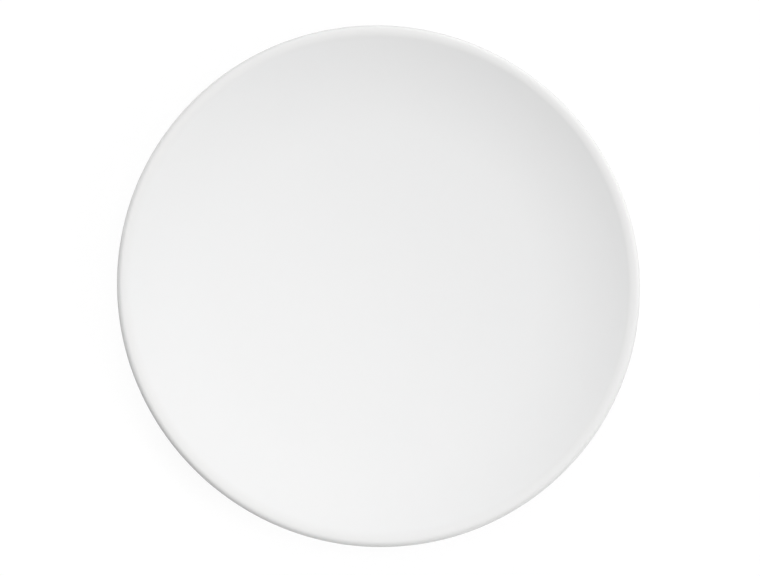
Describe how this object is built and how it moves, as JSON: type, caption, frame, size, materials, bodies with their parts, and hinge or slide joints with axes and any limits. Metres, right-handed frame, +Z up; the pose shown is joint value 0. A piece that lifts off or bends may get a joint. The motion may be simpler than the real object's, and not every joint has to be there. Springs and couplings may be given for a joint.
{
  "type": "coupe plate",
  "caption": "Round white porcelain coupe plate: a shallow dish that sweeps up to a rounded lip with no separate rim, standing on a low foot ring with a bare edge.",
  "frame": {"origin": "on the plate's axis, at the level of the surface that the foot ring stands on", "axes": "+Z up along the plate's axis, from the foot to the eating face; the plate is round, so X and Y are free"},
  "size_m": [0.26, 0.26, 0.0272],
  "materials": {
    "porcelain": "bare fired porcelain, matt and fine grained",
    "face_glaze": "smooth white gloss glaze",
    "base_glaze": "smooth white gloss glaze"
  },
  "bodies": {
    "root": {"porcelain_body": "porcelain", "face_glaze": "face_glaze", "base_glaze": "base_glaze"}
  },
  "joints": []
}
